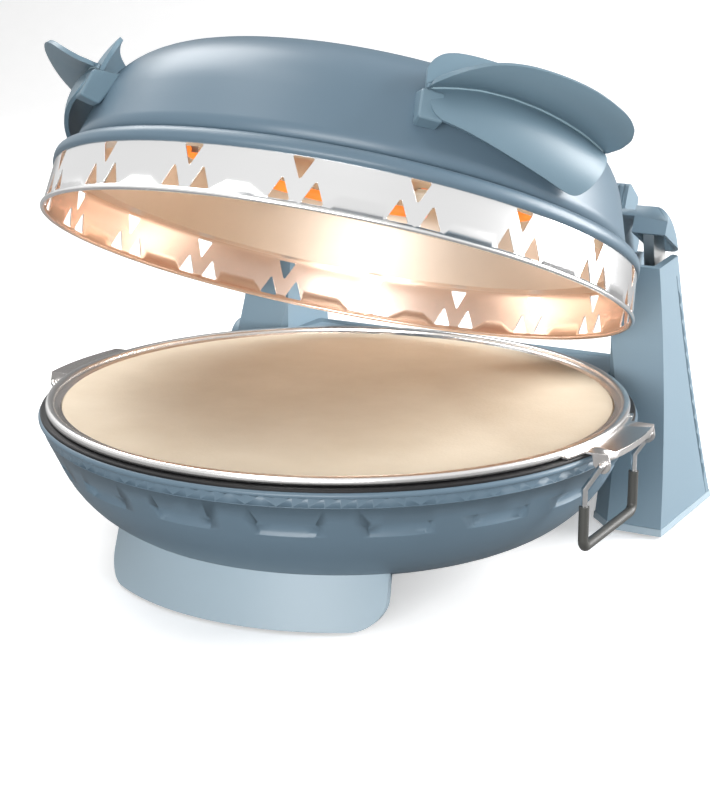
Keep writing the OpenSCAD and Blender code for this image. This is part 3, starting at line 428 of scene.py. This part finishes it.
dress = {  # node: (body, finish, slot, smooth angle)
    "base_bowl": ("base", "enamel", "body_paint", 32),
    "rim_gasket": ("base", "sealRubber", "seal", 30),
    "lower_reflector": ("base", "reflector", "reflector", 30),
    "lower_heater": ("base", "coolElement", "element", 40),
    "lower_bushings": ("base", "ceramic", "bushing", 30),
    "lower_clips": ("base", "zinc", "zinc_steel", 30),
    # the front foot wears the paler, painted-light copy of the body plastic
    "front_foot": ("base", "litFootPlastic", "body_plastic", 30),
    "rubber_pads": ("base", "padRubber", "pads", 30),
    "bowl_bolts": ("base", "zinc", "zinc_steel", 30),
    "upright_right": ("base", "plastic", "body_plastic", 22),
    "upright_left": ("base", "plastic", "body_plastic", 22),
    "upright_bases": ("base", "palePlastic", "trim_plastic", 30),
    "base_screws": ("base", "zinc", "zinc_steel", 30),
    "rear_housing": ("base", "plastic", "body_plastic", 30),
    "rear_cover": ("base", "palePlastic", "trim_plastic", 30),
    "cover_screws": ("base", "zinc", "zinc_steel", 30),
    "cord_gland": ("base", "darkPlastic", "dark_plastic", 30),
    "hinge_pins": ("base", "zinc", "zinc_steel", 30),
    "hinge_spacers": ("base", "darkPlastic", "dark_plastic", 30),
    "thermostat": ("base", "darkPlastic", "dark_plastic", 30),
    "dial_shaft": ("dial", "brassShaft", "brass", 30),
    "thermostat_dial": ("dial", "plastic", "body_plastic", 30),
    "pilot_lamp": ("base", "lampLens", "lamp", 30),
    "dome": ("lid", "enamelLid", "body_paint", 32),
    "lid_collar": ("lid", "enamelLid", "body_paint", 32),
    "perforated_band": ("lid", "band", "stainless", 30),
    "upper_reflector": ("lid", "reflector", "reflector", 32),
    "upper_heater": ("lid", "hotElement", "element", 40),
    "upper_bushings": ("lid", "ceramic", "bushing", 30),
    "upper_clips": ("lid", "zinc", "zinc_steel", 30),
    "arm_right": ("lid", "plastic", "body_plastic", 25),
    "arm_left": ("lid", "plastic", "body_plastic", 25),
    "arm_fairings": ("lid", "plastic", "body_plastic", 25),
    "knuckles": ("lid", "zinc", "zinc_steel", 30),
    "tray_ring": ("tray", "trayRim", "stainless", 30),
    "pizza_stone": ("tray", "stone", "stone", 30),
    "tray_brackets": ("tray", "plate", "stainless", 30),
    "tray_rivets": ("tray", "zinc", "stainless", 30),
    "bail_right": ("handle_right", "wireSteel", "stainless", 40),
    "bail_left": ("handle_left", "wireSteel", "stainless", 40),
    "grip_right": ("handle_right", "darkPlastic", "dark_plastic", 40),
    "grip_left": ("handle_left", "darkPlastic", "dark_plastic", 40),
}
turnedNodes = {"base_bowl", "rim_gasket", "lower_reflector", "dome", "lid_collar",
               "perforated_band", "upper_reflector", "tray_ring", "pizza_stone"}
turnedLimits = {"sideways": 0.3, "radius": 0.02}  # steeper or nearer the axis, a normal is kept


def roundNormals(data, raised, k):
    # smooth corner normals lose their part along the circle about the piece's axis, so that
    # long facets of a turned surface shade as one
    of = np.empty(len(data.loops), int)
    data.loops.foreach_get("vertex_index", of)
    at, m = aboutAxis(vectorsOf(data.vertices, "co")[of], vectorsOf(data.corner_normals, "vector"),
                      raised)
    r = np.maximum(np.hypot(at[:, 0], at[:, 1]), 1e-6)
    circle = np.stack([-at[:, 1] / r, at[:, 0] / r, np.zeros(len(r))], 1)
    along = (m * circle).sum(1)
    turned = (np.abs(along) < k["sideways"]) & (r > k["radius"])
    flat = m - circle * along[:, None]
    flat /= np.maximum(np.linalg.norm(flat, axis=1), 1e-6)[:, None]
    m = np.where(turned[:, None], flat, m)
    data.normals_split_custom_set((m @ lidTilt.T if raised else m).tolist())


def dressNode(node, body, look, slot, angle):
    # a merged, smooth-shaded copy of the solid's mesh stands for it
    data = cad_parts[node].data.copy()
    data.name = node + "Skin"
    bm = bmesh.new()
    bm.from_mesh(data)
    bmesh.ops.remove_doubles(bm, verts=bm.verts, dist=2e-6)
    bm.to_mesh(data)
    bm.free()
    data.materials.clear()
    data.materials.append(finish[look])
    data.shade_smooth()
    data.set_sharp_from_angle(angle=math.radians(angle))
    if node in turnedNodes:
        roundNormals(data, body == "lid", turnedLimits)
    ob = bpy.data.objects.new(node + "Skin", data)
    scene.collection.objects.link(ob)
    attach(ob, body)
    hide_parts(node)
    return ob


skins = {node: dressNode(node, *how) for node, how in dress.items()}
print("solids dressed:", len(skins))


def markInside(ob):
    # a face is inside where its normal points at the lid's own axis: x nx + y ny below nought
    faces = ob.data.polygons
    q, m = aboutAxis(vectorsOf(faces, "center"), vectorsOf(faces, "normal"), True)
    inward = (q[:, 0] * m[:, 0] + q[:, 1] * m[:, 1]) < 0
    mark = ob.data.attributes.new("inside", "FLOAT", "FACE")
    mark.data.foreach_set("value", inward.astype(float))


markInside(skins["perforated_band"])

trayRoll = {"middle": (0.1709, 0.09635), "half": (0.0027, 0.0026), "square": 2.6,
            "turns": 360, "points": 28}  # the tray's rolled steel edge, in metres


def ringFromProfile(name, profile, turns):
    # every profile point (radius, height) goes round the bowl's axis; the profile is a closed loop
    a = np.linspace(0, 2 * math.pi, turns, endpoint=False)
    r, z = profile[:, 0], profile[:, 1]
    x = (np.cos(a)[:, None] * r[None, :]).ravel()
    y = (np.sin(a)[:, None] * r[None, :]).ravel() - midY
    p = np.stack([x, y, np.tile(z, turns)], 1)
    return meshFromGrid(name, p, turns, len(profile), True, True)


def squareRound(middle, half, power, n):
    # rounded square: middle + half size times cos and sin raised to 2 / power, signs kept
    t = np.linspace(0, 2 * math.pi, n, endpoint=False)
    c, s = np.cos(t), np.sin(t)
    x = middle[0] + half[0] * np.sign(c) * np.abs(c) ** (2 / power)
    z = middle[1] + half[1] * np.sign(s) * np.abs(s) ** (2 / power)
    return np.stack([x, z], 1)


def makeTrayRoll(k):
    # the rounded square carried round the bowl's axis
    line = squareRound(k["middle"], k["half"], k["square"], k["points"])
    ring = ringFromProfile("trayRoll", line, k["turns"])
    addPiece("trayRoll", ring, "trayRim", "tray", 60)


makeTrayRoll(trayRoll)
print("tray rim made")

grip = {  # mm and degrees on the shut lid; angles run from the grip's middle, toward the back
    "turn": 30.0,  # plan angle of the grip's middle, forward of the side
    "shieldArc": (147.5, 153.2, 26.0),  # radius and height of its centre, then its own radius
    "innerArc": (99.7, 158.7, 66.0),
    "crease": [(-21.6, 172.4), (-19.2, 174.2), (-15.6, 176.6), (-11.4, 178.6), (-5.4, 179.6),
               (0.9, 179.3), (6.6, 178.2), (12.2, 176.6), (17.0, 174.6), (21.6, 172.6)],
    "creaseRadius": {"shield": 164.6, "fin": 164.3, "bead": 164.5},
    "low": [(-61, 171.5), (-61.2, 165), (-60, 158.8), (-56, 155.9), (-44.5, 154.0), (-32.4, 151.4),
            (-15, 147.6), (5, 143.9), (19, 141.6), (30, 140.1), (37, 141.2), (43.5, 147.4),
            (52, 159.5), (59.8, 170.8)],  # mm across and up
    "shieldFrom": 138.0, "shieldRise": 35.3,  # heights over which the shield's arc is laid
    "rim": [(-21.4, 167.0, 173.0), (-20.8, 172.5, 173.9), (-20.2, 176.4, 174.7),
            (-18.7, 182.0, 177.4), (-16.6, 186.6, 180.9), (-14.0, 189.8, 184.6),
            (-11.0, 191.7, 187.4), (-7.3, 192.8, 189.3), (-3.0, 193.1, 189.9), (1.5, 193.1, 189.9),
            (6.0, 192.7, 189.2), (10.4, 191.7, 187.4), (14.5, 190.4, 185.6), (17.6, 187.6, 182.2),
            (19.5, 182.9, 177.9), (20.6, 175.2, 174.4), (21.5, 167.0, 173.0)],
    "finBend": 0.68, "finDip": 0.08,  # where the fin's curve is pulled, as shares of its reach
    "top": [(-21.8, 176), (-21.9, 184.8), (-20.7, 190.4), (-18.8, 195.0), (-16.0, 197.6),
            (-12.0, 198.8), (-6, 199.2), (6, 199.2), (12.0, 198.8), (16.0, 197.6), (18.8, 195.0),
            (20.7, 190.4), (21.9, 184.8), (21.8, 176)],
    "innerDrop": 1.5,  # the inner fin starts this far under the crease
    "wall": 0.0026, "edge": 0.0011,  # metres
    "across": 72, "up": 14, "finUp": 20,
    "bead": {"radius": 0.0007, "drop": 0.1, "points": 60},
}


def smoothLine(points, n, rounds=2):
    # n points evenly along the polyline, then a few passes of neighbour averaging between the ends
    q = np.asarray(points, float)
    step = np.r_[0, np.cumsum(np.linalg.norm(np.diff(q, axis=0), axis=1))]
    at = np.linspace(0, step[-1], n)
    line = np.stack([np.interp(at, step, q[:, k]) for k in range(q.shape[1])], 1)
    for _ in range(rounds):
        line[1:-1] = (line[:-2] + 2 * line[1:-1] + line[2:]) / 4
    return line


def gripPlace(turn, r, z, side):
    # (angle from the grip's middle, radius, height) in degrees and mm to metres on the raised lid
    a = np.radians(grip["turn"] - turn)
    p = np.stack([side * r * np.cos(a), -r * np.sin(a) - midY * 1000, z], -1).reshape(-1, 3)
    return lidPose(p / 1000)


def shieldGrid(g):
    # straight from the low outline to the crease; the radius follows the arc, stretched to the crease
    low, top = smoothLine(g["low"], g["across"]), smoothLine(g["crease"], g["across"])
    top = np.stack([g["creaseRadius"]["shield"] * np.sin(np.radians(top[:, 0])), top[:, 1]], 1)
    t = np.linspace(0, 1, g["up"])[:, None, None]
    p = low[None] * (1 - t) + top[None] * t
    u, z = p[..., 0], p[..., 1]
    high = np.interp(u, top[:, 0], top[:, 1])
    foot = g["shieldFrom"]
    level = foot + (z - foot) * g["shieldRise"] / (high - foot)
    c, h, r = g["shieldArc"]
    radius = c + np.sqrt(r * r - (level - h) ** 2)
    return np.degrees(np.arcsin(u / radius)), radius, z


def finGrid(g):
    # quadratic curve from the crease out to the rim, first level and then rising
    rim, base = smoothLine(g["rim"], g["across"]), smoothLine(g["crease"], g["across"])
    t = np.linspace(0, 1, g["finUp"])[:, None]
    inner = g["creaseRadius"]["fin"]
    reach = rim[:, 1] - inner
    start = np.stack([base[:, 0], np.full(len(base), inner), base[:, 1]], 1)
    mid = np.stack([(base[:, 0] + 2 * rim[:, 0]) / 3, inner + g["finBend"] * reach,
                    base[:, 1] - g["finDip"] * reach], 1)
    p = [(1 - t) ** 2 * start[:, k] + 2 * t * (1 - t) * mid[:, k] + t * t * rim[:, k] for k in range(3)]
    return p[0], p[1], p[2]


def innerGrid(g):
    # from just under the crease up to the top outline, on the long inner arc
    top, base = smoothLine(g["top"], g["across"]), smoothLine(g["crease"], g["across"])
    t = np.linspace(0, 1, g["up"])[:, None]
    turn = base[:, 0] * (1 - t) + top[:, 0] * t
    z = (base[:, 1] - g["innerDrop"]) * (1 - t) + top[:, 1] * t
    c, h, r = g["innerArc"]
    return turn, c + np.sqrt(r * r - (z - h) ** 2), z


def sheetFaces(p, nu, nv, toward):
    # grid quads, wound so that their mean normal agrees with the wanted direction
    i, j = np.arange(nu - 1)[:, None], np.arange(nv - 1)[None, :]
    a = i * nv + j
    quads = np.stack([a, a + nv, a + nv + 1, a + 1], -1).reshape(-1, 4)
    n = np.cross(p[quads[:, 1]] - p[quads[:, 0]], p[quads[:, 2]] - p[quads[:, 0]]).mean(0)
    return quads if n @ toward > 0 else quads[:, ::-1]


def makeGrip(name, side, g):
    # three sheets in one mesh: shield, outer fin and inner fin, given a wall and rounded edges
    a = math.radians(g["turn"])
    out = np.array([side * math.cos(a), -math.sin(a), 0.0])
    sheets = ((shieldGrid, out), (finGrid, out * 0.6 - np.array([0, 0, 1.0])),
              (innerGrid, out + np.array([0, 0, 0.4])))  # each with the way its face looks
    points, quads, count = [], [], 0
    for grid, look in sheets:
        turn, r, z = grid(g)
        p = gripPlace(turn, r, z, side)
        quads.append(sheetFaces(p, turn.shape[0], turn.shape[1], lidTilt @ look) + count)
        points.append(p)
        count += len(p)
    data = bpy.data.meshes.new(name)
    data.from_pydata(np.concatenate(points).tolist(), [], np.concatenate(quads).tolist())
    data.update()
    node = "ear_right" if side > 0 else "ear_left"
    ob = addPiece(name, data, "plasticLid", "lid", None, (node,))
    thick = ob.modifiers.new("wall", "SOLIDIFY")
    thick.thickness, thick.offset, thick.use_rim = g["wall"], -1, True
    soft = ob.modifiers.new("edge", "BEVEL")
    soft.width, soft.segments, soft.limit_method = g["edge"], 3, "ANGLE"
    soft.angle_limit, soft.harden_normals = math.radians(40), True


hub = {"turns": (-22.7, -18.2),  # plan angles of its two ends, as the grip's
       "outline": [(168.6, 171.0), (150.5, 173.0), (160.8, 152.4), (173.0, 154.6)], "round": 0.0016}


def makeHub(name, side, h):
    # block between grip and dome: the outline at two plan angles, joined by quads, edges rounded
    line = np.asarray(h["outline"], float)
    p = np.concatenate([gripPlace(np.full(4, t), line[:, 0], line[:, 1], side) for t in h["turns"]])
    quads = [[0, 1, 2, 3], [7, 6, 5, 4]] + [[k, k + 4, (k + 1) % 4 + 4, (k + 1) % 4] for k in range(4)]
    data = bpy.data.meshes.new(name)
    data.from_pydata(p.tolist(), [], quads)
    bm = bmesh.new()
    bm.from_mesh(data)
    bmesh.ops.recalc_face_normals(bm, faces=bm.faces)
    bm.to_mesh(data)
    bm.free()
    ob = addPiece(name, data, "plasticLid", "lid")
    soft = ob.modifiers.new("edge", "BEVEL")
    soft.width, soft.segments, soft.harden_normals = h["round"], 3, True


def sweptTube(name, line, radius, n=10, tip=0.02):
    # circles of the given radius stand square to the line at each of its points, drawn to a
    # tip at both ends
    d = np.gradient(line, axis=0)
    d /= np.linalg.norm(d, axis=1)[:, None]
    first = np.cross(d, [0.0, 0.0, 1.0])
    first /= np.linalg.norm(first, axis=1)[:, None]
    second = np.cross(d, first)
    a = np.linspace(0, 2 * math.pi, n, endpoint=False)
    size = np.full(len(line), radius)
    size[[0, -1]] = radius * tip
    ring = first[:, None] * np.cos(a)[None, :, None] + second[:, None] * np.sin(a)[None, :, None]
    p = line[:, None] + ring * size[:, None, None]
    return meshFromGrid(name, p.reshape(-1, 3), len(line), n, False, True)


def makeCrease(name, side, g):
    # a fine bead along the crease where shield and fins meet; its paler plastic is a painted highlight
    # along the crease, added to the light the bead itself catches
    bead = g["bead"]
    line = smoothLine(g["crease"], bead["points"])[1:-1]
    r = np.full(len(line), g["creaseRadius"]["bead"])
    p = gripPlace(line[:, 0], r, line[:, 1] - bead["drop"], side)
    addPiece(name, sweptTube(name, p, bead["radius"]), "highlightPlasticLid", "lid")


for side, word in ((1, "Right"), (-1, "Left")):
    makeGrip("grip" + word, side, grip)
    makeHub("gripHub" + word, side, hub)
    makeCrease("gripCrease" + word, side, grip)
print("side grips made")

studio = {
    "floorHalf": 3.0, "sweepRadius": 0.9, "sweepAt": 1.6, "wallHeight": 2.6,  # metres
    "points": {"across": 12, "floor": 20, "sweep": 24, "wall": 7},
    "paper": [(0.3, (0.93, 0.93, 0.93, 1)), (0.7, (0.95, 0.95, 0.95, 1))], "paperScale": 40,
    "dim": (0.2, 0.2, 0.2, 1), "rough": 0.8, "glow": 0.42, "mirrorGlow": 1.2,
}


def makeStage(s):
    # the floor runs flat to the back, then turns up on a quarter circle into a wall
    n, r = s["points"], s["sweepRadius"]
    flat = np.stack([np.linspace(-s["floorHalf"], s["sweepAt"], n["floor"]), np.zeros(n["floor"])], 1)
    a = np.linspace(0, math.pi / 2, n["sweep"])[1:]
    turn = np.stack([s["sweepAt"] + r * np.sin(a), r * (1 - np.cos(a))], 1)
    height = np.linspace(r, s["wallHeight"], n["wall"])[1:]
    wall = np.stack([np.full(len(height), turn[-1, 0]), height], 1)
    line = np.concatenate([flat, turn, wall])
    x = np.linspace(-s["floorHalf"], s["floorHalf"], n["across"])
    p = np.stack([np.repeat(x, len(line)), np.tile(line[:, 0], len(x)), np.tile(line[:, 1], len(x))], 1)
    data = meshFromGrid("studioSweep", p, len(x), len(line))
    data.shade_smooth()
    ob = bpy.data.objects.new("studioSweep", data)
    scene.collection.objects.link(ob)
    data.materials.append(paperMaterial("paperSweep", s))


def paperMaterial(name, s):
    # pale to the eye; to the pieces it is dim as a surface, and glows only in their mirrors
    m, t, shader, place = startMaterial(name)
    paper = rampOf(t, noiseOf(t, (place, 0), s["paperScale"]), s["paper"])
    ray = t.nodes.new("ShaderNodeLightPath")
    glow = mathOf(t, "MULTIPLY_ADD", (ray, "Is Glossy Ray"), s["mirrorGlow"], (ray, "Is Camera Ray"))
    seen = mixColour(t, s["dim"], paper, (ray, "Is Camera Ray"))
    link(t, seen, shader, "Base Color")
    link(t, seen, shader, "Emission Color")
    link(t, mathOf(t, "MULTIPLY", glow, s["glow"]), shader, "Emission Strength")
    shader.inputs["Roughness"].default_value = s["rough"]
    return m


lights = {  # panel: (place, aim, size, watts)
    "keyPanel": ((-1.2, 0.45, 1.6), (0, 0, 0.15), (1.0, 1.2), 25),
    "topPanel": ((-0.6, -0.5, 2.0), (0, 0, 0.1), (1.0, 0.8), 8),
    "rearPanel": ((1.5, 1.2, 0.7), (0.1, 0.1, 0.15), (1.2, 1.2), 66),
    "frontPanel": ((0.7, -2.3, 0.5), (0, 0, 0.1), (1.7, 0.8), 50),
}


def areaLight(name, at, aim, size, power):
    # a white rectangle that faces its aim
    data = bpy.data.lights.new(name, "AREA")
    data.shape, data.size, data.size_y = "RECTANGLE", size[0], size[1]
    data.energy = power
    ob = bpy.data.objects.new(name, data)
    ob.rotation_euler = (Vector(aim) - Vector(at)).to_track_quat("-Z", "Y").to_euler()
    ob.location = at
    scene.collection.objects.link(ob)


air = {"byHeight": [(0.35, 0.05), (0.52, 0.2), (1.0, 0.34)], "mirror": 0.8}


def makeAir(k):
    # seen directly the air is white, in a mirror nearly so; as light it is brighter overhead
    w = bpy.data.worlds.new("studioAir")
    w.use_nodes = True
    t = w.node_tree
    coord = t.nodes.new("ShaderNodeTexCoord")
    part = t.nodes.new("ShaderNodeSeparateXYZ")
    link(t, (coord, "Generated"), part, 0)
    high = rampOf(t, mathOf(t, "MULTIPLY_ADD", (part, "Z"), 0.5, 0.5), k["byHeight"])
    ray = t.nodes.new("ShaderNodeLightPath")
    plain = mathOf(t, "MULTIPLY_ADD", (ray, "Is Glossy Ray"), k["mirror"], (ray, "Is Camera Ray"))
    link(t, mixColour(t, high, (1, 1, 1, 1), plain), t.nodes["Background"], "Color")
    scene.world = w


makeStage(studio)
for panel, how in lights.items():
    areaLight(panel, *how)
makeAir(air)
scene.view_settings.view_transform = "Standard"
scene.view_settings.look = "None"
scene.view_settings.exposure = 0.0
print("studio lit")
